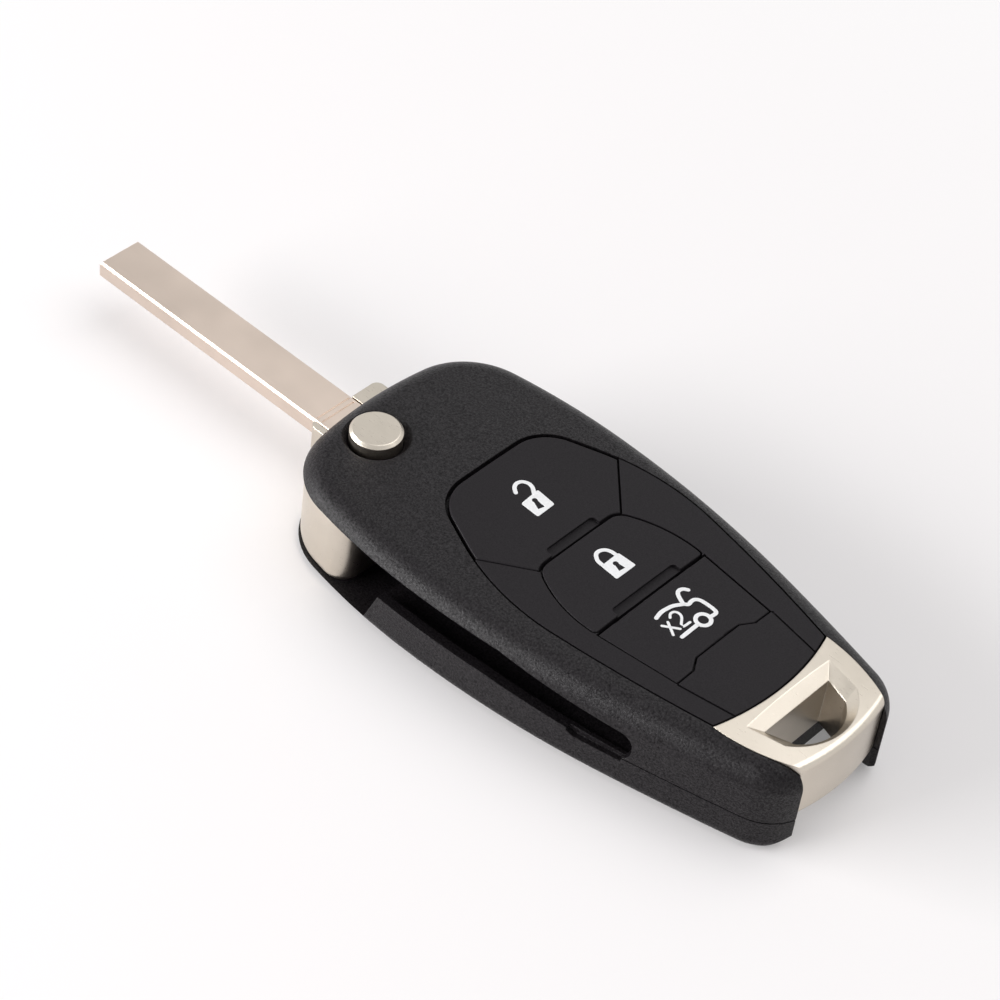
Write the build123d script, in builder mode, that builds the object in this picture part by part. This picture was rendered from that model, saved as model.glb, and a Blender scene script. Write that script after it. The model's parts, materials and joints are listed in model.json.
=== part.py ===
from build123d import *
import os

os.makedirs("parts", exist_ok=True)

# All sizes are in millimetres.
# X runs from the blade to the keyring end, -Y is the side with the blade slot, +Z is the button side.
# The origin lies on the case's middle plane, under the hinge, on the rear face.

# Case
case_height = 15.2
case_half_width = 21.9
front_x = -7.5
corner_x = -5.4
corner_half_width = 18.3
front_corner = 12.0
widest_x = 21.0
waist_x = 54.0
waist_half_width = 18.4
tail_x = 79.6
tail_half_width = 12.1
tail_corner = 7.5
tail_rise_x = 73.5
tail_rise = 3.0
wall = 1.6
floor_thickness = 2.0
head_floor = 0.9
top_thickness = 2.7
top_roll = 4.0
bottom_roll = 1.9
crown_radius = 260.0
parting_z = 5.7
parting_gap = 0.2
lip_height = 1.1
lip_clearance = 0.1
lip_front_x = 20.0
lip_tail_x = 58.0

# Hinge and head
hinge_x = 0.0
hinge_y = -6.0
head_radius = 16.7
head_clearance = 0.4
head_lift = 0.2
head_top_gap = 0.2
head_ceiling = 12.3
head_inset = 0.5
head_back_x = 8.8
head_far_y = 6.3
head_corner = 3.2
head_lower_edge = 1.2
shoulder_front_x = -11.3
shoulder_near_y = -7.4
shoulder_drop = 1.5
shoulder_corner = 1.2

# Blade
blade_width = 7.5
blade_thickness = 2.85
blade_bottom = 7.1
blade_y = -2.55
blade_tip_x = -55.7
blade_root_x = -7.6
blade_edge = 0.3
blade_mark_depth = 0.15
blade_mark_width = 0.3
blade_mark_pitch = 1.0
blade_pin_radius = 0.75
blade_pin_x = -9.3
blade_pin_depth = 2.2
blade_fit = 0.05

# Blade slot in the near side
slot_end_x = 58.2
slot_start_x = 14.1
slot_start_slant = 2.4
slot_cut_y = -12.0
slot_floor_top = 5.4
slot_inner_y = -4.9
slot_partition = 1.6
slot_fall_x = 37.0
slot_top_tail = 10.2
slot_end_roundness = 0.45
slot_wall_top = 6.9
slot_wall_flat_x = 35.0
slot_wall_low_x = 57.0
pry_front_x = 48.8
pry_ramp = 1.2
pry_width = 0.9
pry_depth = 0.5

# Release button
cap_radius = 3.8
cap_proud = 1.2
cap_edge = 0.45
cap_clearance = 0.1
head_collar = 2.4
cap_recess_radius = 5.0
cap_recess_angle = 85.0
cap_travel = 2.2
flange_radius = 5.1
flange_thickness = 1.4
flange_clearance = 0.2
lug_radius = 6.5
lug_width = 2.4
post_side = 2.7
post_clearance = 0.1
post_height = 8.3
seat_radius = 4.9
seat_thickness = 1.4
seat_sink = 0.2
spring_wire_radius = 0.35
spring_mean_radius = 3.3
spring_turns = 3.5
spring_clearance = 0.05

# Button pad
pad_depth = 1.7
pad_gap = 0.3
button_gap = 0.25
button_travel = 0.5
button_stem_radius = 1.8
button_stem_clearance = 0.3
button_edge = 0.25
step_depth = 0.5
step_width = 1.6
step_corner = 0.7
lock_step_half_width = 6.4
stem_y = 1.2
button_seat_gap = 0.1
pad_front_x = 13.6
pad_corner = 7.0
pad_side_x = 22.0
pad_side_near_y = -12.0
pad_side_far_y = 15.6
unlock_side_x = 22.0
unlock_near_y = -15.0
unlock_far_y = 19.7
split_x = 32.0
split_half_width = 7.9
split_corner = 2.8
split_side_x = 33.1
split_side_half_width = 8.0
split_step_half_width = 4.8
lock_end_x = 45.2
lock_end_half_width = 11.1
lock_end_corner = 0.8
lock_bulge_x = 38.2
lock_bulge_y = 10.6
trunk_end_x = 58.2
trunk_end_half_width = 9.7
trunk_tab_x = 57.0
trunk_tab_half_width = 4.3
trunk_tab_slope = 2.0
pad_tail_x = 67.9
pad_middle_x = 33.1
pad_near_y = -15.0
pad_far_y = 17.9
wing_x = 41.0
wing_near_y = -15.1
wing_far_y = 17.4
blank_tail_half_width = 8.1
groove_width = 0.35
groove_depth = 0.45

# Rubber membrane
membrane_thickness = 0.9
membrane_front_x = 19.0
membrane_tail_x = 55.6
membrane_near_y = -2.9
membrane_far_y = 9.0
dome_radius = 2.7
dome_drop = 0.6
dome_gap = 0.1
pill_radius = 1.6
pill_thickness = 0.5

# Keyring loop
loop_tip_x = 66.0
loop_tip_half_width = 11.7
loop_side_x = 73.5
loop_side_half_width = 10.55
loop_corner_x = 78.3
loop_corner_half_width = 8.6
loop_end_x = 79.4
loop_clearance = 0.12
loop_edge = 1.0
window_front_x = 70.6
window_back_x = 77.0
window_front_half_width = 6.6
window_side_x = 74.4
window_side_half_width = 5.4
dish_depth = 1.3
dish_front = 1.9
dish_side = 2.2
dish_back = 1.1
tongue_length = 6.0
tongue_half_width = 6.0
tongue_bottom = 7.0
tongue_thickness = 3.6
tongue_pin_inset = 2.7
loop_pin_radius = 1.5
pin_edge = 0.2
pin_fit = 0.05
fork_front_x = 69.4

# Board tray and battery clips
tray_side_gap = 0.3
tray_thickness = 0.8
tray_rim_height = 2.4
tray_rim = 0.8
cell_radius = 10.15
cell_wall = 0.8
cell_height = 3.4
cell_x = 30.5
cell_y = 8.3
clip_thickness = 0.3
clip_width = 3.0
clip_leaf = 9.0
clip_rise = 1.1
clip_height = 4.4
clip_gap = 0.25
clip_hook = 1.8

# Levels worked out from the sizes above
parting_low = parting_z - parting_gap / 2
parting_high = parting_z + parting_gap / 2
ceiling = case_height - top_thickness
pad_floor = case_height - pad_depth
head_bottom = head_floor + head_lift
head_top = head_ceiling - head_top_gap
pocket_radius = head_radius + head_clearance
blade_top = blade_bottom + blade_thickness
cap_top = case_height + cap_proud
seat_top = head_floor - seat_sink + seat_thickness
post_top = seat_top + post_height
partition_y = slot_inner_y + slot_partition
flange_top = head_top - head_collar - flange_clearance
spring_start = seat_top + spring_wire_radius + spring_clearance
spring_length = flange_top - flange_thickness - spring_wire_radius - spring_clearance - spring_start
unlock_x = (pad_front_x + split_x) / 2
lock_x = (split_x + lock_end_x) / 2
trunk_x = (lock_end_x + trunk_end_x) / 2
tongue_front_x = pad_tail_x - tongue_length
tongue_pin_x = tongue_front_x + tongue_pin_inset
slot_end_radius = slot_end_roundness * (slot_top_tail - parting_low)
far_past = 2 * case_half_width
long_past = 2 * tail_x


def case_outline(inset=0.0):
    """The case seen from above, made smaller all round by the inset."""
    with BuildSketch() as outline:
        with BuildLine():
            front = ThreePointArc((corner_x, -corner_half_width), (front_x, 0), (corner_x, corner_half_width))
            tail = Line((tail_x, -tail_half_width), (tail_x, tail_half_width))
            head_side = TangentArc((widest_x, case_half_width), front @ 1, tangent=(-1, 0))
            middle_side = TangentArc(head_side @ 0, (waist_x, waist_half_width), tangent=(1, 0))
            tail_side = TangentArc(middle_side @ 1, tail @ 1, tangent=middle_side % 1)
            mirror([head_side, middle_side, tail_side], about=Plane.XZ)
        make_face()
        fillet(outline.vertices().group_by(Axis.X)[0], radius=front_corner)
        fillet(outline.vertices().group_by(Axis.X)[-1], radius=tail_corner)
        if inset:
            offset(amount=-inset)
    return outline.sketch


def box_sketch(low_x, high_x, low_y, high_y):
    """A rectangle by its corners."""
    with BuildSketch() as box:
        with Locations(((low_x + high_x) / 2, (low_y + high_y) / 2)):
            Rectangle(high_x - low_x, high_y - low_y)
    return box.sketch


def loop_outline(growth=0.0):
    """The keyring loop between the case's prongs, seen from above."""
    with BuildSketch() as outline:
        with BuildLine():
            tip = (loop_tip_x, loop_tip_half_width)
            side = (loop_side_x, loop_side_half_width)
            corner = (loop_corner_x, loop_corner_half_width)
            far_side = ThreePointArc(tip, side, corner)
            mirror(far_side, about=Plane.XZ)
            ThreePointArc(corner, (loop_end_x, 0), (loop_corner_x, -loop_corner_half_width))
            ThreePointArc(tip, (pad_tail_x, 0), (loop_tip_x, -loop_tip_half_width))
        make_face()
        if growth:
            offset(amount=growth)
    return outline.sketch


def loop_room():
    """The space for the keyring loop in the case, open at the tail."""
    side = loop_corner_half_width + loop_clearance
    with BuildSketch() as room:
        add(loop_outline(loop_clearance))
        add(box_sketch(loop_side_x, long_past, -side, side))
    return room.sketch


def window_outline(front=0.0, side=0.0, back=0.0):
    """The D-shaped keyring window, made larger at its front, sides and back."""
    front_corner_point = (window_front_x - front, window_front_half_width + side)
    side_point = (window_side_x, window_side_half_width + side)
    with BuildSketch() as outline:
        with BuildLine():
            far_side = Line(front_corner_point, side_point)
            near_side = mirror(far_side, about=Plane.XZ)
            Line(far_side @ 0, near_side @ 0)
            ThreePointArc(far_side @ 1, (window_back_x + back, 0), near_side @ 1)
        make_face()
    return outline.sketch


def pad_outline(inset=0.0):
    """The whole button pad seen from above. Its head end leans to the far side."""
    with BuildSketch() as outline:
        with BuildLine():
            near_start = (pad_side_x, pad_side_near_y)
            near_wing = ThreePointArc(near_start, (pad_middle_x, pad_near_y), (wing_x, wing_near_y))
            far_start = (pad_side_x, pad_side_far_y)
            far_wing = ThreePointArc(far_start, (pad_middle_x, pad_far_y), (wing_x, wing_far_y))
            near_slope = (near_wing % 0).Y / (near_wing % 0).X
            far_slope = (far_wing % 0).Y / (far_wing % 0).X
            front_length = pad_side_x - pad_front_x
            near_side = Line(near_start, (pad_front_x, pad_side_near_y - near_slope * front_length))
            far_side = Line(far_start, (pad_front_x, pad_side_far_y - far_slope * front_length))
            Line(near_side @ 1, far_side @ 1)
            far_edge = TangentArc(far_wing @ 1, (loop_tip_x, loop_tip_half_width), tangent=far_wing % 1)
            bow = ThreePointArc(far_edge @ 1, (pad_tail_x, 0), (loop_tip_x, -loop_tip_half_width))
            TangentArc(near_wing @ 1, bow @ 1, tangent=near_wing % 1)
        make_face()
        fillet(outline.vertices().group_by(Axis.X)[0], radius=pad_corner)
        if inset:
            offset(amount=-inset)
    return outline.sketch


def lock_cell():
    """The lock button's room, with bulged sides and a rounded head end."""
    with BuildSketch() as outline:
        with BuildLine():
            side = ThreePointArc(
                (split_x, split_half_width),
                (lock_bulge_x, lock_bulge_y),
                (lock_end_x, lock_end_half_width),
            )
            mirror(side, about=Plane.XZ)
            Line(side @ 0, (split_x, -split_half_width))
            Line(side @ 1, (lock_end_x, -lock_end_half_width))
        make_face()
        fillet(outline.vertices().group_by(Axis.X)[0], radius=split_corner)
        fillet(outline.vertices().group_by(Axis.X)[-1], radius=lock_end_corner)
    return outline.sketch


def unlock_cell():
    """The head end of the pad, round the lock button's room, drawn past the pad's own edge."""
    with BuildSketch() as outline:
        with BuildLine():
            Polyline(
                (split_side_x, -split_side_half_width),
                (split_side_x, split_side_half_width),
                (unlock_side_x, unlock_far_y),
                (unlock_side_x, far_past),
                (front_x, far_past),
                (front_x, -far_past),
                (unlock_side_x, -far_past),
                (unlock_side_x, unlock_near_y),
                close=True,
            )
        make_face()
        add(lock_cell(), mode=Mode.SUBTRACT)
    return outline.sketch


def trunk_cell():
    """The trunk button's room, with a short tab at each corner of its tail end."""
    with BuildSketch() as outline:
        with BuildLine() as edge:
            Polyline(
                (lock_end_x, 0),
                (lock_end_x, lock_end_half_width),
                (trunk_end_x, trunk_end_half_width),
                (trunk_end_x, trunk_tab_half_width + trunk_tab_slope),
                (trunk_tab_x, trunk_tab_half_width),
                (trunk_tab_x, 0),
            )
            mirror(edge.line, about=Plane.XZ)
        make_face()
    return outline.sketch


def crown():
    """The gently bowed surface that all of the top faces share."""
    with BuildPart() as bowed:
        with BuildSketch(Plane.YZ.offset(-long_past)):
            with Locations((0, case_height - crown_radius)):
                Circle(crown_radius)
        extrude(amount=2 * long_past)
    return bowed.part


def slot_profile():
    """The blade slot seen from the near side. Its upper edge falls towards the tail."""
    with BuildSketch() as profile:
        with BuildLine():
            Polyline(
                (front_x - wall, parting_low),
                (slot_end_x, parting_low),
                (slot_end_x, slot_top_tail),
                (slot_fall_x, head_ceiling),
                (front_x - wall, head_ceiling),
                close=True,
            )
        make_face()
        fillet(profile.vertices().group_by(Axis.X)[-1], radius=slot_end_radius)
    return profile.sketch


def pry_notch():
    """The notch that the case is prised open at, ramped at its head end."""
    with BuildPart() as notch:
        with BuildSketch():
            add(case_outline())
            add(case_outline(pry_width), mode=Mode.SUBTRACT)
        extrude(amount=case_height)
        with BuildSketch(Plane.XZ):
            with BuildLine():
                Polyline(
                    (pry_front_x, case_height),
                    (pry_front_x, parting_low),
                    (pry_front_x + pry_ramp, parting_low - pry_depth),
                    (slot_wall_low_x, parting_low - pry_depth),
                    (slot_wall_low_x, case_height),
                    close=True,
                )
            make_face()
        extrude(amount=far_past, mode=Mode.INTERSECT)
    return notch.part


def board_room(inset, front_gap=0.0):
    """The space for the circuit board, between the partition and the far wall."""
    low_x = hinge_x + pocket_radius + wall + front_gap
    high_x = tongue_front_x - wall - front_gap
    with BuildSketch() as room:
        add(case_outline(inset))
        add(box_sketch(low_x, high_x, partition_y + front_gap, far_past), mode=Mode.INTERSECT)
    return room.sketch


# Front case
with BuildPart() as front_case:
    with BuildSketch(Plane.XY.offset(parting_high)):
        add(case_outline())
    extrude(amount=case_height - parting_high)
    add(crown(), mode=Mode.INTERSECT)
    fillet(front_case.faces().sort_by(Axis.Z)[-1].edges(), radius=top_roll)
    # Room for the circuit board
    with BuildSketch(Plane.XY.offset(parting_high)):
        add(board_room(wall))
    extrude(amount=ceiling - parting_high, mode=Mode.SUBTRACT)
    # Swinging room for the head
    with BuildSketch(Plane.XY.offset(parting_low)):
        with Locations((hinge_x, hinge_y)):
            Circle(pocket_radius)
    extrude(amount=head_ceiling - parting_low, mode=Mode.SUBTRACT)
    # Blade slot
    with BuildSketch(Plane.XZ.offset(-slot_inner_y)):
        add(slot_profile())
    extrude(amount=far_past, mode=Mode.SUBTRACT)
    # Fork for the keyring loop, and the pocket for its tongue
    with BuildSketch(Plane.XY.offset(parting_low)):
        add(loop_room())
    extrude(amount=case_height, mode=Mode.SUBTRACT)
    with BuildSketch(Plane.XY.offset(parting_low)):
        tongue_side = tongue_half_width + loop_clearance
        add(box_sketch(tongue_front_x - loop_clearance, pad_tail_x, -tongue_side, tongue_side))
    extrude(amount=tongue_bottom + tongue_thickness + loop_clearance - parting_low, mode=Mode.SUBTRACT)
    with BuildSketch(Plane.XY.offset(parting_low)):
        with Locations((tongue_pin_x, 0)):
            Circle(loop_pin_radius + pin_fit)
    extrude(amount=ceiling - parting_low, mode=Mode.SUBTRACT)
    # Recess for the button pad, with a window under each button
    with BuildSketch(Plane.XY.offset(pad_floor)):
        add(pad_outline())
    extrude(amount=case_height, mode=Mode.SUBTRACT)
    with BuildSketch(Plane.XY.offset(ceiling)):
        with Locations((unlock_x, stem_y), (lock_x, stem_y), (trunk_x, stem_y)):
            Circle(button_stem_radius + button_stem_clearance)
    extrude(amount=case_height, mode=Mode.SUBTRACT)
    # Hole for the release button, flared at the top
    with Locations((hinge_x, hinge_y, case_height)):
        CounterSinkHole(cap_radius + cap_clearance, cap_recess_radius, case_height, cap_recess_angle)
    # Groove that takes the rear case's lip
    with BuildSketch(Plane.XY.offset(parting_high)):
        add(case_outline(wall / 2 - lip_clearance))
        add(case_outline(wall), mode=Mode.SUBTRACT)
        lip_box = box_sketch(lip_front_x - lip_clearance, lip_tail_x + lip_clearance, 0, far_past)
        add(lip_box, mode=Mode.INTERSECT)
    extrude(amount=lip_height, mode=Mode.SUBTRACT)
front_case.part.label = "front_case"
export_step(front_case.part, "parts/front_case.step")

# Rear case
with BuildPart() as rear_case:
    with BuildSketch():
        add(case_outline())
    extrude(amount=parting_low)
    fillet(rear_case.faces().sort_by(Axis.Z)[0].edges(), radius=bottom_roll)
    # Wall that rises beside the head end of the slot
    with BuildSketch(Plane.XY.offset(parting_low)):
        add(case_outline())
        add(case_outline(wall), mode=Mode.SUBTRACT)
        add(box_sketch(front_x, slot_wall_low_x, -far_past, hinge_y), mode=Mode.INTERSECT)
    extrude(amount=slot_wall_top - parting_low)
    with BuildSketch(Plane.XZ.offset(-hinge_y)):
        with BuildLine():
            Polyline(
                (slot_wall_flat_x, slot_wall_top),
                (slot_wall_low_x, parting_low),
                (slot_wall_low_x + wall, parting_low),
                (slot_wall_low_x + wall, case_height),
                (slot_wall_flat_x, case_height),
                close=True,
            )
        make_face()
    extrude(amount=far_past, mode=Mode.SUBTRACT)
    # Room for the circuit board
    with BuildSketch(Plane.XY.offset(floor_thickness)):
        add(board_room(wall))
    extrude(amount=case_height, mode=Mode.SUBTRACT)
    # Channel for the folded blade
    with BuildSketch(Plane.XY.offset(slot_floor_top)):
        add(case_outline(wall))
        add(box_sketch(hinge_x, slot_end_x, -far_past, slot_inner_y), mode=Mode.INTERSECT)
    extrude(amount=case_height, mode=Mode.SUBTRACT)
    # Swinging room for the head, open to the front and the near side
    with BuildSketch(Plane.XY.offset(head_floor)):
        with Locations((hinge_x, hinge_y)):
            Circle(pocket_radius)
    extrude(amount=case_height, mode=Mode.SUBTRACT)
    with BuildSketch(Plane.XZ.offset(-slot_cut_y)):
        with BuildLine():
            Polyline(
                (front_x - wall, head_floor),
                (slot_start_x, head_floor),
                (slot_start_x + slot_start_slant, slot_wall_top),
                (slot_start_x + slot_start_slant, case_height),
                (front_x - wall, case_height),
                close=True,
            )
        make_face()
    extrude(amount=far_past, mode=Mode.SUBTRACT)
    # Seat for the release spring's cup
    with BuildSketch(Plane.XY.offset(head_floor - seat_sink)):
        with Locations((hinge_x, hinge_y)):
            Circle(seat_radius + pin_fit)
    extrude(amount=case_height, mode=Mode.SUBTRACT)
    # Underside that turns up at the tail
    with BuildSketch(Plane.XZ.offset(-far_past)):
        with BuildLine():
            rise = TangentArc((tail_rise_x, 0), (tail_x, tail_rise), tangent=(1, 0))
            Polyline(rise @ 1, (long_past, tail_rise), (long_past, -wall), (tail_rise_x, -wall), rise @ 0)
        make_face()
    extrude(amount=2 * far_past, mode=Mode.SUBTRACT)
    # Fork under the keyring loop, and the hole for its pin
    with BuildSketch():
        add(loop_room())
        add(box_sketch(fork_front_x, long_past, -far_past, far_past), mode=Mode.INTERSECT)
    extrude(amount=case_height, mode=Mode.SUBTRACT)
    with BuildSketch(Plane.XY.offset(floor_thickness)):
        with Locations((tongue_pin_x, 0)):
            Circle(loop_pin_radius + pin_fit)
    extrude(amount=case_height, mode=Mode.SUBTRACT)
    add(pry_notch(), mode=Mode.SUBTRACT)
    # Lip that lines the two halves up
    with BuildSketch(Plane.XY.offset(parting_low - lip_height)):
        add(case_outline(wall / 2))
        add(case_outline(wall), mode=Mode.SUBTRACT)
        add(box_sketch(lip_front_x, lip_tail_x, 0, far_past), mode=Mode.INTERSECT)
    extrude(amount=2 * lip_height + parting_gap)
rear_case.part.label = "rear_case"
export_step(rear_case.part, "parts/rear_case.step")

# Pad frame: the smooth wings and the blank area round the buttons
with BuildPart() as pad_frame:
    with BuildSketch(Plane.XY.offset(pad_floor)):
        add(pad_outline(pad_gap))
        add(unlock_cell(), mode=Mode.SUBTRACT)
        add(lock_cell(), mode=Mode.SUBTRACT)
        add(trunk_cell(), mode=Mode.SUBTRACT)
    extrude(amount=pad_depth)
    add(crown(), mode=Mode.INTERSECT)
    # Grooves that mark off the blank area
    with BuildSketch(Plane.XY.offset(case_height - groove_depth)):
        for side in (-1, 1):
            with BuildLine():
                Line((trunk_end_x, side * trunk_end_half_width), (pad_tail_x, side * blank_tail_half_width))
            trace(line_width=groove_width)
    extrude(amount=case_height, mode=Mode.SUBTRACT)
pad_frame.part.label = "pad_frame"
export_step(pad_frame.part, "parts/pad_frame.step")


def button(name, cell, stem_x, step_x, step_half_width):
    """A push button with a stem that reaches through the case to the rubber sheet."""
    with BuildPart() as cap:
        with BuildSketch(Plane.XY.offset(pad_floor + button_travel + button_seat_gap)):
            add(cell)
            add(pad_outline(pad_gap), mode=Mode.INTERSECT)
            offset(amount=-button_gap, kind=Kind.INTERSECTION)
        extrude(amount=case_height)
        add(crown(), mode=Mode.INTERSECT)
        fillet(cap.faces().sort_by(Axis.Z)[-1].edges(), radius=button_edge)
        if step_half_width:
            # Shallow step that the fingertip feels
            with BuildSketch(Plane.XY.offset(case_height - step_depth)) as step:
                add(box_sketch(step_x - step_width, step_x, -step_half_width, step_half_width))
                fillet(step.vertices().group_by(Axis.X)[0], radius=step_corner)
            extrude(amount=case_height, mode=Mode.SUBTRACT)
        with BuildSketch(Plane.XY.offset(ceiling + button_seat_gap)):
            with Locations((stem_x, stem_y)):
                Circle(button_stem_radius)
        extrude(amount=pad_depth)
    cap.part.label = name
    export_step(cap.part, f"parts/{name}.step")


button("unlock_button", unlock_cell(), unlock_x, split_x, split_step_half_width)
button("lock_button", lock_cell(), lock_x, lock_end_x, lock_step_half_width)
button("trunk_button", trunk_cell(), trunk_x, 0, 0)

# Rubber sheet with a dome under each button
with BuildPart() as button_membrane:
    with BuildSketch(Plane.XY.offset(ceiling - membrane_thickness)):
        add(box_sketch(membrane_front_x, membrane_tail_x, membrane_near_y, membrane_far_y))
    extrude(amount=membrane_thickness)
    with BuildSketch(Plane.XY.offset(ceiling - membrane_thickness)):
        with Locations((unlock_x, stem_y), (lock_x, stem_y), (trunk_x, stem_y)):
            Circle(dome_radius)
    extrude(amount=-dome_drop)
    with BuildSketch(Plane.XY.offset(ceiling)):
        with Locations((unlock_x, stem_y), (lock_x, stem_y), (trunk_x, stem_y)):
            Circle(button_stem_radius + button_stem_clearance)
    extrude(amount=-(button_travel + dome_gap), mode=Mode.SUBTRACT)
    with BuildSketch(Plane.XY.offset(ceiling - membrane_thickness - dome_drop)):
        with Locations((unlock_x, stem_y), (lock_x, stem_y), (trunk_x, stem_y)):
            Circle(pill_radius)
    extrude(amount=-pill_thickness)
button_membrane.part.label = "button_membrane"
export_step(button_membrane.part, "parts/button_membrane.step")

# Keyring loop
with BuildPart() as keyring_loop:
    with BuildSketch(Plane.XY.offset(parting_high)):
        add(loop_outline())
    extrude(amount=case_height - parting_high)
    add(crown(), mode=Mode.INTERSECT)
    fillet(keyring_loop.faces().sort_by(Axis.Z)[-1].edges().sort_by(Axis.X)[-1], radius=loop_edge)
    # Dished top that slopes down to the window
    with BuildSketch(Plane.XY.offset(case_height - dish_depth)):
        add(window_outline())
    with BuildSketch(Plane.XY.offset(case_height)):
        add(window_outline(dish_front, dish_side, dish_back))
    loft(mode=Mode.SUBTRACT)
    with BuildSketch(Plane.XY.offset(parting_low)):
        add(window_outline())
    extrude(amount=case_height, mode=Mode.SUBTRACT)
    # Tongue held by the pin inside the case
    with BuildSketch(Plane.XY.offset(tongue_bottom)):
        add(box_sketch(tongue_front_x, pad_tail_x + loop_edge, -tongue_half_width, tongue_half_width))
    extrude(amount=tongue_thickness)
    with Locations((tongue_pin_x, 0, tongue_bottom + tongue_thickness)):
        Hole(loop_pin_radius + pin_fit, tongue_thickness)
keyring_loop.part.label = "keyring_loop"
export_step(keyring_loop.part, "parts/keyring_loop.step")

# Pin through the loop's tongue
with BuildPart() as loop_pin:
    with BuildSketch(Plane.XY.offset(floor_thickness)):
        with Locations((tongue_pin_x, 0)):
            Circle(loop_pin_radius)
    extrude(amount=ceiling - floor_thickness)
    chamfer(loop_pin.edges().filter_by(GeomType.CIRCLE), length=pin_edge)
loop_pin.part.label = "loop_pin"
export_step(loop_pin.part, "parts/loop_pin.step")

# Blade, with two fine marks across its root
with BuildPart() as blade:
    with BuildSketch(Plane.XY.offset(blade_bottom)):
        add(box_sketch(blade_tip_x, blade_root_x, blade_y - blade_width / 2, blade_y + blade_width / 2))
    extrude(amount=blade_thickness)
    tip_edges = blade.edges().filter_by(Axis.Y).group_by(Axis.X)[0]
    chamfer(blade.edges().filter_by(Axis.X) + tip_edges, length=blade_edge)
    with BuildSketch(Plane.XY.offset(blade_top - blade_mark_depth)):
        with Locations((shoulder_front_x, blade_y), (shoulder_front_x + blade_mark_pitch, blade_y)):
            Rectangle(blade_mark_width, blade_width - 4 * blade_edge)
    extrude(amount=blade_thickness, mode=Mode.SUBTRACT)
    with BuildSketch(Plane.XY.offset(blade_bottom)):
        with Locations((blade_pin_x, blade_y)):
            Circle(blade_pin_radius + pin_fit)
    extrude(amount=blade_pin_depth, mode=Mode.SUBTRACT)
blade.part.label = "blade"
export_step(blade.part, "parts/blade.step")

# Metal head that carries the blade
with BuildPart() as blade_head:
    with BuildSketch(Plane.XY.offset(head_bottom)) as head_sketch:
        add(case_outline(head_inset))
        add(box_sketch(-far_past, head_back_x, -far_past, head_far_y), mode=Mode.INTERSECT)
        fillet(head_sketch.vertices().group_by(Axis.X)[-1], radius=head_corner)
        with Locations((hinge_x, hinge_y)):
            Circle(head_radius, mode=Mode.INTERSECT)
    extrude(amount=head_top - head_bottom)
    fillet(blade_head.faces().sort_by(Axis.Z)[0].edges(), radius=head_lower_edge)
    # Shoulder round the blade's root
    with BuildSketch(Plane.XY.offset(blade_bottom - shoulder_drop)):
        add(box_sketch(shoulder_front_x, hinge_x, shoulder_near_y, head_far_y))
    extrude(amount=blade_top - blade_bottom + shoulder_drop)
    fillet(blade_head.edges().filter_by(Axis.Z).group_by(Axis.X)[0], radius=shoulder_corner)
    # Channel for the blade's root
    with BuildSketch(Plane.XY.offset(blade_bottom)):
        half = blade_width / 2 + blade_fit
        add(box_sketch(shoulder_front_x, blade_root_x + blade_fit, blade_y - half, blade_y + half))
    extrude(amount=blade_thickness + blade_fit, mode=Mode.SUBTRACT)
    # Bore for the release button, its flange and its lugs
    with BuildSketch(Plane.XY.offset(head_bottom)):
        with Locations((hinge_x, hinge_y)):
            Circle(flange_radius + flange_clearance)
    extrude(amount=head_top - head_collar - head_bottom, mode=Mode.SUBTRACT)
    with BuildSketch(Plane.XY.offset(flange_top - flange_thickness - cap_travel - flange_clearance)):
        with Locations((hinge_x, hinge_y)):
            Circle(lug_radius + flange_clearance)
    extrude(amount=flange_thickness + cap_travel + 2 * flange_clearance, mode=Mode.SUBTRACT)
    with BuildSketch(Plane.XY.offset(head_bottom)):
        with Locations((hinge_x, hinge_y)):
            Circle(cap_radius + cap_clearance)
    extrude(amount=case_height, mode=Mode.SUBTRACT)
    # Blind hole for the blade's pin
    with BuildSketch(Plane.XY.offset(blade_bottom - shoulder_drop)):
        with Locations((blade_pin_x, blade_y)):
            Circle(blade_pin_radius + pin_fit)
    extrude(amount=shoulder_drop, mode=Mode.SUBTRACT)
blade_head.part.label = "blade_head"
export_step(blade_head.part, "parts/blade_head.step")

# Pin that holds the blade in its head
with BuildPart() as blade_pin:
    with BuildSketch(Plane.XY.offset(blade_bottom - shoulder_drop)):
        with Locations((blade_pin_x, blade_y)):
            Circle(blade_pin_radius)
    extrude(amount=shoulder_drop + blade_pin_depth)
blade_pin.part.label = "blade_pin"
export_step(blade_pin.part, "parts/blade_pin.step")

# Release button, keyed to the post by a square bore
with BuildPart() as release_button:
    with BuildSketch(Plane.XY.offset(flange_top - flange_thickness)):
        with Locations((hinge_x, hinge_y)):
            Circle(flange_radius)
            Rectangle(2 * lug_radius, lug_width)
    extrude(amount=flange_thickness)
    with BuildSketch(Plane.XY.offset(flange_top)):
        with Locations((hinge_x, hinge_y)):
            Circle(cap_radius)
    extrude(amount=cap_top - flange_top)
    chamfer(release_button.edges().filter_by(GeomType.CIRCLE).sort_by(Axis.Z)[-1], length=cap_edge)
    with BuildSketch(Plane.XY.offset(flange_top - flange_thickness)):
        with Locations((hinge_x, hinge_y)):
            Rectangle(post_side + 2 * post_clearance, post_side + 2 * post_clearance)
    bore_depth = post_top + cap_travel + 2 * post_clearance - flange_top + flange_thickness
    extrude(amount=bore_depth, mode=Mode.SUBTRACT)
release_button.part.label = "release_button"
export_step(release_button.part, "parts/release_button.step")

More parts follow.
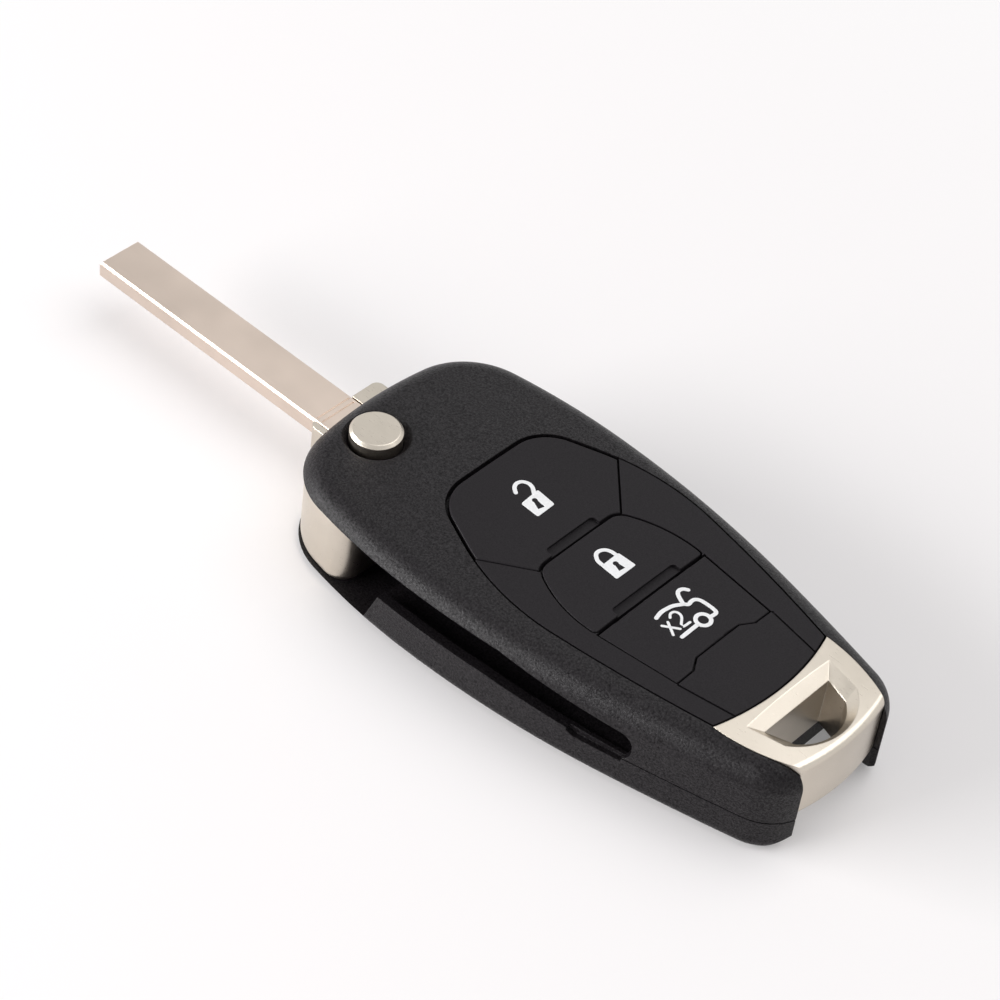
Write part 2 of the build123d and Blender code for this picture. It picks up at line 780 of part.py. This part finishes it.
# Cup and square post that the release button stands on
with BuildPart() as spring_seat:
    with BuildSketch(Plane.XY.offset(head_floor - seat_sink)):
        with Locations((hinge_x, hinge_y)):
            Circle(seat_radius)
    extrude(amount=seat_thickness)
    with BuildSketch(Plane.XY.offset(seat_top)):
        with Locations((hinge_x, hinge_y)):
            Rectangle(post_side, post_side)
    extrude(amount=post_height)
spring_seat.part.label = "spring_seat"
export_step(spring_seat.part, "parts/spring_seat.step")

# Release spring
with BuildPart() as release_spring:
    with BuildLine() as coil:
        Helix(
            pitch=spring_length / spring_turns,
            height=spring_length,
            radius=spring_mean_radius,
            center=(hinge_x, hinge_y, spring_start),
        )
    with BuildSketch(coil.line ^ 0):
        Circle(spring_wire_radius)
    sweep(path=coil.line)
release_spring.part.label = "release_spring"
export_step(release_spring.part, "parts/release_spring.step")

# Tray for the owner's own circuit board, with a cup for the coin cell
with BuildPart() as board_tray:
    with BuildSketch(Plane.XY.offset(floor_thickness)):
        add(board_room(wall + tray_side_gap, tray_side_gap))
    extrude(amount=tray_thickness + tray_rim_height)
    with BuildSketch(Plane.XY.offset(floor_thickness + tray_thickness)):
        add(board_room(wall + tray_side_gap + tray_rim, tray_side_gap + tray_rim))
    extrude(amount=tray_rim_height, mode=Mode.SUBTRACT)
    with BuildSketch(Plane.XY.offset(floor_thickness + tray_thickness)):
        with Locations((cell_x, cell_y)):
            Circle(cell_radius + cell_wall)
            Circle(cell_radius, mode=Mode.SUBTRACT)
            Rectangle(2 * long_past, clip_width + 2 * clip_gap, mode=Mode.SUBTRACT)
        add(board_room(wall + tray_side_gap, tray_side_gap), mode=Mode.INTERSECT)
    extrude(amount=cell_height)
board_tray.part.label = "board_tray"
export_step(board_tray.part, "parts/board_tray.step")

# Spring leaf under the coin cell
with BuildPart() as battery_clip_negative:
    with BuildSketch(Plane.XZ.offset(-cell_y)):
        with BuildLine():
            low = floor_thickness + tray_thickness
            Polyline(
                (cell_x - clip_leaf, low),
                (cell_x - clip_leaf, low + clip_thickness),
                (cell_x, low + clip_rise),
                (cell_x + clip_leaf, low + clip_thickness),
                (cell_x + clip_leaf, low),
                (cell_x, low + clip_rise - clip_thickness),
                close=True,
            )
        make_face()
    extrude(amount=clip_width / 2, both=True)
battery_clip_negative.part.label = "battery_clip_negative"
export_step(battery_clip_negative.part, "parts/battery_clip_negative.step")

# Strip that stands beside the coin cell and hooks over its rim
with BuildPart() as battery_clip_positive:
    with BuildSketch(Plane.XZ.offset(-cell_y)):
        with BuildLine():
            foot = cell_x + cell_radius + clip_gap
            Polyline(
                (foot, low),
                (foot + clip_hook, low),
                (foot + clip_hook, low + clip_thickness),
                (foot + clip_thickness, low + clip_thickness),
                (foot + clip_thickness, low + clip_height),
                (foot - clip_hook, low + clip_height),
                (foot - clip_hook, low + clip_height - clip_thickness),
                (foot, low + clip_height - clip_thickness),
                close=True,
            )
        make_face()
    extrude(amount=clip_width / 2, both=True)
battery_clip_positive.part.label = "battery_clip_positive"
export_step(battery_clip_positive.part, "parts/battery_clip_positive.step")
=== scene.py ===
"""Flip key remote shell: materials, printed button symbols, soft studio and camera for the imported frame."""
import json
import math

import bmesh
import bpy
from mathutils import Matrix, Vector


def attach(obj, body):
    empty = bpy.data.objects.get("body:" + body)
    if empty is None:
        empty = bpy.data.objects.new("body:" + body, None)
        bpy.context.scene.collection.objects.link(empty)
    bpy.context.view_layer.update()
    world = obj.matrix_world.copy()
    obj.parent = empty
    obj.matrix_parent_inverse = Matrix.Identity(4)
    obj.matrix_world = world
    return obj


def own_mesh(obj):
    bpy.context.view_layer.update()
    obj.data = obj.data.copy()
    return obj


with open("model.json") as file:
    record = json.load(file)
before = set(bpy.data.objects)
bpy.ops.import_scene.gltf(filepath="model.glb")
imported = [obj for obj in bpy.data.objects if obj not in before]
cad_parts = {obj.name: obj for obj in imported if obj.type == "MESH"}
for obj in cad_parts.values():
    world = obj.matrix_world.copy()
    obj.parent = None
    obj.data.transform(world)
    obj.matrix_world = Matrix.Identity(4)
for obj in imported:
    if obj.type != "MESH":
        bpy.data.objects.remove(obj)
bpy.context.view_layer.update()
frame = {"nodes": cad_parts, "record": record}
nodes = frame["nodes"]
scene = bpy.context.scene

# The frame is in metres. The key's own sizes below are in millimetres.
MM = 0.001

# The case's bowed top, which the symbols lie on
CASE_HEIGHT = 15.2
CROWN_RADIUS = 260.0

# Camera, at the photograph's angle
CAMERA_TARGET = Vector((11.028, 8.307, 0.0)) * MM
CAMERA_DISTANCE = 460.0 * MM
CAMERA_AZIMUTH = math.radians(-52.753)
CAMERA_ELEVATION = math.radians(44.749)
CAMERA_ROLL = math.radians(8.002)
SENSOR = 36.0
FOCAL = 116.79
SHIFT_X = 0.00565
SHIFT_Y = 0.00628
VIEW_FROM = 0.01
VIEW_TO = 20.0


def make_camera():
    """A camera that looks down on the key, turned a little on its own axis."""
    towards = Vector((
        math.cos(CAMERA_ELEVATION) * math.cos(CAMERA_AZIMUTH),
        math.cos(CAMERA_ELEVATION) * math.sin(CAMERA_AZIMUTH),
        math.sin(CAMERA_ELEVATION),
    ))
    level = (-towards).cross(Vector((0, 0, 1))).normalized()
    upright = level.cross(-towards)
    right = math.cos(CAMERA_ROLL) * level + math.sin(CAMERA_ROLL) * upright
    up = -math.sin(CAMERA_ROLL) * level + math.cos(CAMERA_ROLL) * upright
    data = bpy.data.cameras.new("camera")
    data.sensor_fit = "HORIZONTAL"
    data.sensor_width = SENSOR
    data.lens = FOCAL
    data.shift_x = SHIFT_X
    data.shift_y = SHIFT_Y
    data.clip_start = VIEW_FROM
    data.clip_end = VIEW_TO
    camera = bpy.data.objects.new("camera", data)
    scene.collection.objects.link(camera)
    turn = Matrix((right, up, towards)).transposed().to_4x4()
    camera.matrix_world = Matrix.Translation(CAMERA_TARGET + CAMERA_DISTANCE * towards) @ turn
    scene.camera = camera


# Materials. The noise runs mostly between these shares of its range
NOISE_LOW = 0.25
NOISE_HIGH = 0.75
COLOUR_LOW = 0.3
COLOUR_HIGH = 0.7
EDGE_SAMPLES = 6
BRUSH_DEPTH = 0.004
DRIFT = (0.08, 0.08, 0.12)
PLAIN_DEPTH = 0.01


class Surface:
    """A node material with a Principled shader, and short calls for what the materials share."""

    def __init__(self, name, color, roughness, metallic=0.0):
        self.material = bpy.data.materials.new(name)
        self.material.use_nodes = True
        self.tree = self.material.node_tree
        self.shader = self.tree.nodes["Principled BSDF"]
        self.shader.inputs["Base Color"].default_value = (*color, 1)
        self.shader.inputs["Roughness"].default_value = roughness
        self.shader.inputs["Metallic"].default_value = metallic
        self.place = self.add("ShaderNodeTexCoord").outputs["Object"]

    def add(self, kind, **values):
        """A new node with the given inputs."""
        node = self.tree.nodes.new(kind)
        for key, value in values.items():
            node.inputs[key].default_value = value
        return node

    def link(self, output, socket):
        """Joins two sockets."""
        self.tree.links.new(output, socket)

    def stretched(self, scale):
        """The object's coordinates in millimetres, stretched."""
        mapping = self.add("ShaderNodeMapping", Scale=tuple(s / MM for s in scale))
        self.link(self.place, mapping.inputs["Vector"])
        return mapping.outputs["Vector"]

    def noise(self, scale=(1, 1, 1), detail=3.0, roughness=0.55):
        """Noise whose grains are about one over the scale, in millimetres."""
        node = self.add("ShaderNodeTexNoise", Scale=1.0, Detail=detail, Roughness=roughness)
        self.link(self.stretched(scale), node.inputs["Vector"])
        return node.outputs["Fac"]

    def between(self, factor, low, high):
        """Numbers from low to high along the noise."""
        node = self.add("ShaderNodeMapRange")
        node.inputs["From Min"].default_value = NOISE_LOW
        node.inputs["From Max"].default_value = NOISE_HIGH
        node.inputs["To Min"].default_value = low
        node.inputs["To Max"].default_value = high
        self.link(factor, node.inputs["Value"])
        return node.outputs["Result"]

    def colors(self, factor, low, high):
        """Colours from low to high along the noise."""
        node = self.add("ShaderNodeValToRGB")
        node.color_ramp.elements[0].position = COLOUR_LOW
        node.color_ramp.elements[0].color = (*low, 1)
        node.color_ramp.elements[1].position = COLOUR_HIGH
        node.color_ramp.elements[1].color = (*high, 1)
        self.link(factor, node.inputs["Fac"])
        return node.outputs["Color"]

    def bump(self, height, depth, under=None):
        """Raises the surface by up to the depth, in millimetres."""
        node = self.add("ShaderNodeBump", Strength=1.0, Distance=depth * MM)
        self.link(height, node.inputs["Height"])
        if under:
            self.link(under, node.inputs["Normal"])
        return node.outputs["Normal"]

    def soft_edges(self, radius):
        """Rounds the sharp edges that light catches."""
        node = self.add("ShaderNodeBevel", Radius=radius * MM)
        node.samples = EDGE_SAMPLES
        return node.outputs["Normal"]

    def set(self, name, output):
        """Feeds one of the shader's inputs."""
        self.link(output, self.shader.inputs[name])


def moulded_plastic(name, low, high, roughness, grain, grain_depth, edge, specular):
    """Black moulded plastic with a spark-eroded grain, whose peaks are paler, smoother and shinier."""
    surface = Surface(name, low, roughness[0])
    fine = surface.noise((grain, grain, grain), detail=4.0, roughness=0.75)
    surface.set("Base Color", surface.colors(fine, low, high))
    surface.set("Roughness", surface.between(fine, *roughness))
    surface.set("Specular IOR Level", surface.between(fine, *specular))
    surface.set("Normal", surface.bump(fine, grain_depth, under=surface.soft_edges(edge)))
    return surface.material


def plated_metal(name, low, high, roughness, brush, edge):
    """Satin plated metal with a fine brushed drift."""
    surface = Surface(name, low, roughness[0], metallic=1.0)
    drift = surface.noise(DRIFT, detail=2.0)
    lines = surface.noise(brush)
    surface.set("Base Color", surface.colors(drift, low, high))
    surface.set("Roughness", surface.between(lines, *roughness))
    surface.set("Normal", surface.bump(lines, BRUSH_DEPTH, under=surface.soft_edges(edge)))
    return surface.material


def plain(name, low, high, roughness, grain, metallic=0.0):
    """An inner piece's material with a little colour drift."""
    surface = Surface(name, low, roughness, metallic=metallic)
    fine = surface.noise((grain, grain, grain))
    surface.set("Base Color", surface.colors(fine, low, high))
    surface.set("Normal", surface.bump(fine, PLAIN_DEPTH))
    return surface.material


def smooth_black(name, roughness):
    """The finer plastic of the pad and its buttons."""
    return moulded_plastic(
        name, low=(0.009, 0.0075, 0.009), high=(0.0145, 0.0125, 0.0145), roughness=roughness,
        grain=5.0, grain_depth=0.01, edge=0.12, specular=(0.12, 0.18),
    )


def make_materials():
    """One material for each slot of the record, and the symbols' white print."""
    return {
        "case_plastic": moulded_plastic(
            "case_plastic", low=(0.001, 0.0005, 0.001), high=(0.017, 0.0145, 0.0165), roughness=(0.46, 0.26),
            grain=3.2, grain_depth=0.09, edge=0.15, specular=(0.04, 0.35),
        ),
        "pad_plastic": smooth_black("pad_plastic", (0.54, 0.46)),
        "button_plastic": smooth_black("button_plastic", (0.52, 0.44)),
        "inner_plastic": moulded_plastic(
            "inner_plastic", low=(0.012, 0.012, 0.012), high=(0.02, 0.02, 0.02), roughness=(0.5, 0.6),
            grain=4.0, grain_depth=0.01, edge=0.1, specular=(0.25, 0.35),
        ),
        "membrane_rubber": plain(
            "membrane_rubber", low=(0.10, 0.10, 0.11), high=(0.13, 0.13, 0.14), roughness=0.7, grain=2.0
        ),
        "satin_chrome": plated_metal(
            "satin_chrome", low=(0.60, 0.545, 0.47), high=(0.67, 0.61, 0.53), roughness=(0.26, 0.36),
            brush=(0.6, 6.0, 6.0), edge=0.2,
        ),
        "blade_metal": plated_metal(
            "blade_metal", low=(0.62, 0.525, 0.455), high=(0.72, 0.61, 0.53), roughness=(0.34, 0.44),
            brush=(0.5, 9.0, 9.0), edge=0.04,
        ),
        "steel": plain(
            "steel", low=(0.45, 0.45, 0.46), high=(0.55, 0.55, 0.56), roughness=0.3, grain=3.0, metallic=1.0
        ),
        "print": plain(
            "symbol_print", low=(0.79, 0.79, 0.80), high=(0.87, 0.87, 0.88), roughness=0.5, grain=3.0
        ),
    }


def dress_nodes(materials):
    """Gives every CAD node its slot's material."""
    slots = {entry["node"]: entry["material_slot"] for entry in frame["record"]["subparts"]}
    for name, node in nodes.items():
        node.data.materials.clear()
        node.data.materials.append(materials[slots[name]])


def squeeze_spring():
    """Gives the release spring its own copy of its mesh, which keeps its shape."""
    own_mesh(nodes["release_spring"])


# Printed symbols, drawn in millimetres as seen from above
PRINT_LIFT = 0.012
PRINT_THICKNESS = 0.03
OPEN_PADLOCK = {
    "body": [(22.4, -0.8), (25.6, -0.9), (25.5, 2.6), (22.1, 2.9)],
    "keyhole": [(23.2, 1.1), (24.8, 0.7)],
    "shackle": [
        (22.2, 2.0), (21.3, 2.7), (20.4, 2.85), (19.6, 2.4), (19.35, 1.6), (19.7, 0.8), (20.5, 0.2),
    ],
}
CLOSED_PADLOCK = {
    "body": [(37.5, -1.4), (40.5, -1.6), (40.5, 2.3), (37.4, 2.2)],
    "keyhole": [(38.5, 0.45), (39.8, 0.3)],
    "shackle": [
        (37.7, -1.1), (36.6, -1.0), (35.7, -0.4), (35.45, 0.35), (35.8, 1.2), (36.6, 1.65), (37.7, 1.7),
    ],
}
TRUNK_STROKES = [
    [(48.7, -3.0), (48.45, -1.8), (48.55, -0.6), (48.8, 0.4), (49.5, 1.6), (49.95, 2.1), (49.85, 2.8),
     (49.95, 3.4), (50.5, 3.85), (51.6, 4.0), (53.0, 3.95), (53.45, 3.6), (53.4, 2.7)],
    [(49.5, 1.6), (48.6, 2.0), (47.75, 2.5), (47.45, 3.1), (47.65, 3.7), (48.2, 4.1)],
    [(53.15, 0.3), (53.2, -3.0)],
]
TRUNK_FIGURES = [
    [(49.9, -1.6), (49.45, -1.0), (49.6, -0.35), (50.2, -0.1), (50.9, -0.4), (52.0, -1.65), (52.2, -0.2)],
    [(50.1, -3.5), (52.1, -2.1)],
    [(50.2, -2.4), (52.2, -3.6)],
]
WHEEL_CENTRE = (53.1, 1.45)
WHEEL_RADIUS = 1.05
STROKE = 0.6
FIGURE_STROKE = 0.38
BODY_CORNER = 0.3
KEYHOLE_RADIUS = 0.42
KEYHOLE_FOOT = 0.55
KEYHOLE_OPENING = math.radians(100)


def crown_height(y):
    """Height of the bowed top above the rear face, in millimetres."""
    return CASE_HEIGHT - CROWN_RADIUS + math.sqrt(CROWN_RADIUS**2 - y**2)


def smooth_line(points, steps=6):
    """Points along a soft curve through the given points."""
    line = []
    last = len(points) - 1
    for i in range(last):
        a, b, c, d = (Vector(points[min(max(i + k, 0), last)]) for k in (-1, 0, 1, 2))
        for s in range(steps):
            t = s / steps
            line.append(0.5 * ((2 * b) + (c - a) * t + (2 * a - 5 * b + 4 * c - d) * t**2
                               + (3 * b - a - 3 * c + d) * t**3))
    line.append(Vector(points[-1]))
    return line


def add_prism(mesh, outline, hole=None):
    """A thin printed shape from a closed outline, standing on height zero."""
    loops = [outline] + ([hole] if hole else [])
    edges = []
    for loop in loops:
        corners = [mesh.verts.new((p[0], p[1], 0)) for p in loop]
        edges += [mesh.edges.new((corners[i - 1], corners[i])) for i in range(len(corners))]
    filled = bmesh.ops.triangle_fill(mesh, edges=edges, use_beauty=True, use_dissolve=False)
    faces = [g for g in filled["geom"] if isinstance(g, bmesh.types.BMFace)]
    raised = bmesh.ops.extrude_face_region(mesh, geom=faces)
    for vertex in (g for g in raised["geom"] if isinstance(g, bmesh.types.BMVert)):
        vertex.co.z = PRINT_THICKNESS


def stroke_outline(line, width, ends=5):
    """The outline of a stroke with round ends."""
    left = []
    right = []
    for i, point in enumerate(line):
        along = (line[min(i + 1, len(line) - 1)] - line[max(i - 1, 0)]).normalized()
        side = Vector((-along.y, along.x)) * width / 2
        left.append(point + side)
        right.append(point - side)
    last = (line[-1] - line[-2]).normalized()
    first = (line[0] - line[1]).normalized()
    tip = []
    tail = []
    for i in range(1, ends):
        angle = math.pi * i / ends
        tip.append(line[-1] + (Matrix.Rotation(math.pi / 2 - angle, 2) @ last) * width / 2)
        tail.append(line[0] + (Matrix.Rotation(math.pi / 2 - angle, 2) @ first) * width / 2)
    return left + tip + right[::-1] + tail


def rounded(corners, radius, steps=4):
    """A polygon with rounded corners."""
    outline = []
    for i, corner in enumerate(corners):
        here = Vector(corner)
        before = (Vector(corners[i - 1]) - here).normalized()
        after = (Vector(corners[(i + 1) % len(corners)]) - here).normalized()
        for s in range(steps + 1):
            t = s / steps
            outline.append(here + radius * (before * (1 - t) ** 2 + after * t**2))
    return outline


def finish_symbol(name, mesh, body, material):
    """Lays a symbol on the crowned top and lets it ride on its button."""
    for vertex in mesh.verts:
        vertex.co.z += crown_height(vertex.co.y) + PRINT_LIFT - PRINT_THICKNESS / 2
    bmesh.ops.recalc_face_normals(mesh, faces=mesh.faces)
    data = bpy.data.meshes.new(name)
    mesh.to_mesh(data)
    mesh.free()
    data.transform(Matrix.Scale(MM, 4))
    data.materials.append(material)
    piece = bpy.data.objects.new(name, data)
    scene.collection.objects.link(piece)
    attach(piece, body)


def keyhole(centre, foot, steps=12):
    """A round hole with a wedge that widens towards its foot."""
    centre = Vector(centre)
    foot = Vector(foot)
    along = (foot - centre).normalized()
    side = Vector((-along.y, along.x))
    outline = [foot - side * KEYHOLE_FOOT, foot + side * KEYHOLE_FOOT]
    for i in range(steps + 1):
        angle = KEYHOLE_OPENING / 2 + (2 * math.pi - KEYHOLE_OPENING) * i / steps
        outline.append(centre + KEYHOLE_RADIUS * (math.cos(angle) * along + math.sin(angle) * side))
    return outline


def padlock(name, shapes, body, material):
    """A padlock with a keyhole and an open or closed shackle."""
    mesh = bmesh.new()
    add_prism(mesh, rounded(shapes["body"], BODY_CORNER), keyhole(*shapes["keyhole"]))
    add_prism(mesh, stroke_outline(smooth_line(shapes["shackle"]), STROKE))
    finish_symbol(name, mesh, body, material)


def circle(centre, radius, steps=28):
    """Points of a circle."""
    turns = [2 * math.pi * i / steps for i in range(steps)]
    return [Vector((centre[0] + radius * math.cos(a), centre[1] + radius * math.sin(a))) for a in turns]


def trunk_symbol(material):
    """A car's tail with its lid up, and the sign for pressing twice."""
    mesh = bmesh.new()
    for points in TRUNK_STROKES:
        add_prism(mesh, stroke_outline(smooth_line(points), STROKE))
    for points in TRUNK_FIGURES:
        add_prism(mesh, stroke_outline(smooth_line(points), FIGURE_STROKE))
    outer = circle(WHEEL_CENTRE, WHEEL_RADIUS + STROKE / 2)
    add_prism(mesh, outer, circle(WHEEL_CENTRE, WHEEL_RADIUS - STROKE / 2))
    finish_symbol("trunk_symbol", mesh, "trunk", material)


# Studio, in metres and watts. The floor fades to the plain background between the two distances
FLOOR_SIZE = 3.0
PAPER = (0.93, 0.90, 0.905, 1)
WHITE = (1, 1, 1, 1)
SHADOW_REACH = 0.07
WHITE_FROM = 0.30
SHADOW_GLOW = 0.2

# The surroundings' strength as light, and as shiny surfaces see them level and overhead
WORLD_LIGHT = 0.32
WORLD_SHINE = 1.0
WORLD_SHINE_ABOVE = 0.68

# The lamps look at the key's middle
LAMP_AIM = (0.02, 0.0, 0.0)
KEY_LAMP = {"place": (0.22, 0.36, 0.85), "size": (1.0, 1.0), "power": 5.0}
FRONT_LAMP = {"place": (-0.57, -0.72, 0.24), "size": (0.9, 0.4), "power": 15.8}


def floor_material():
    """A pale floor that the camera and shiny surfaces see nearly white, and that keeps the shadow."""
    material = bpy.data.materials.new("pale_floor")
    material.use_nodes = True
    tree = material.node_tree
    tree.nodes.clear()
    paper = tree.nodes.new("ShaderNodeBsdfDiffuse")
    paper.inputs["Color"].default_value = PAPER
    glow = tree.nodes.new("ShaderNodeEmission")
    glow.inputs["Color"].default_value = WHITE
    glow.inputs["Strength"].default_value = 1.0
    path = tree.nodes.new("ShaderNodeLightPath")
    seen = tree.nodes.new("ShaderNodeMath")
    seen.operation = "MAXIMUM"
    tree.links.new(path.outputs["Is Camera Ray"], seen.inputs[0])
    tree.links.new(path.outputs["Is Glossy Ray"], seen.inputs[1])
    place = tree.nodes.new("ShaderNodeTexCoord")
    away = tree.nodes.new("ShaderNodeVectorMath")
    away.operation = "LENGTH"
    tree.links.new(place.outputs["Object"], away.inputs[0])
    fade = tree.nodes.new("ShaderNodeMapRange")
    fade.interpolation_type = "SMOOTHSTEP"
    fade.inputs["From Min"].default_value = SHADOW_REACH
    fade.inputs["From Max"].default_value = WHITE_FROM
    fade.inputs["To Min"].default_value = SHADOW_GLOW
    tree.links.new(away.outputs["Value"], fade.inputs["Value"])
    share = tree.nodes.new("ShaderNodeMath")
    share.operation = "MULTIPLY"
    tree.links.new(seen.outputs[0], share.inputs[0])
    tree.links.new(fade.outputs["Result"], share.inputs[1])
    mix = tree.nodes.new("ShaderNodeMixShader")
    tree.links.new(share.outputs[0], mix.inputs["Fac"])
    tree.links.new(paper.outputs[0], mix.inputs[1])
    tree.links.new(glow.outputs[0], mix.inputs[2])
    output = tree.nodes.new("ShaderNodeOutputMaterial")
    tree.links.new(mix.outputs[0], output.inputs["Surface"])
    return material


def make_floor():
    """A plain level floor under the rear face."""
    mesh = bmesh.new()
    bmesh.ops.create_grid(mesh, x_segments=1, y_segments=1, size=FLOOR_SIZE / 2)
    data = bpy.data.meshes.new("floor")
    mesh.to_mesh(data)
    mesh.free()
    data.materials.append(floor_material())
    floor = bpy.data.objects.new("floor", data)
    scene.collection.objects.link(floor)


def make_world():
    """Even pale surroundings, white to the camera. Shiny surfaces see them dim a little upwards."""
    world = bpy.data.worlds.new("studio")
    scene.world = world
    world.use_nodes = True
    tree = world.node_tree
    tree.nodes["Background"].inputs["Color"].default_value = WHITE
    place = tree.nodes.new("ShaderNodeTexCoord")
    height = tree.nodes.new("ShaderNodeSeparateXYZ")
    tree.links.new(place.outputs["Generated"], height.inputs["Vector"])
    shine = tree.nodes.new("ShaderNodeMapRange")
    shine.inputs["To Min"].default_value = WORLD_SHINE - WORLD_LIGHT
    shine.inputs["To Max"].default_value = WORLD_SHINE_ABOVE - WORLD_LIGHT
    tree.links.new(height.outputs["Z"], shine.inputs["Value"])
    path = tree.nodes.new("ShaderNodeLightPath")
    shiny = tree.nodes.new("ShaderNodeMath")
    shiny.operation = "MULTIPLY_ADD"
    tree.links.new(path.outputs["Is Glossy Ray"], shiny.inputs[0])
    tree.links.new(shine.outputs["Result"], shiny.inputs[1])
    shiny.inputs[2].default_value = WORLD_LIGHT
    seen = tree.nodes.new("ShaderNodeMath")
    seen.operation = "MULTIPLY_ADD"
    tree.links.new(path.outputs["Is Camera Ray"], seen.inputs[0])
    seen.inputs[1].default_value = 1 - WORLD_LIGHT
    tree.links.new(shiny.outputs[0], seen.inputs[2])
    tree.links.new(seen.outputs[0], tree.nodes["Background"].inputs["Strength"])


def make_lamp(name, place, size, power):
    """A soft rectangular lamp that looks at the key."""
    data = bpy.data.lights.new(name, "AREA")
    data.shape = "RECTANGLE"
    data.size = size[0]
    data.size_y = size[1]
    data.energy = power
    lamp = bpy.data.objects.new(name, data)
    lamp.location = place
    lamp.rotation_euler = (Vector(LAMP_AIM) - Vector(place)).to_track_quat("-Z", "Y").to_euler()
    scene.collection.objects.link(lamp)


make_camera()
make_world()
make_floor()
make_lamp("key_lamp", **KEY_LAMP)
make_lamp("front_lamp", **FRONT_LAMP)

materials = make_materials()
dress_nodes(materials)
squeeze_spring()
padlock("unlock_symbol", OPEN_PADLOCK, "unlock", materials["print"])
padlock("lock_symbol", CLOSED_PADLOCK, "lock", materials["print"])
trunk_symbol(materials["print"])

scene.view_settings.view_transform = "Standard"
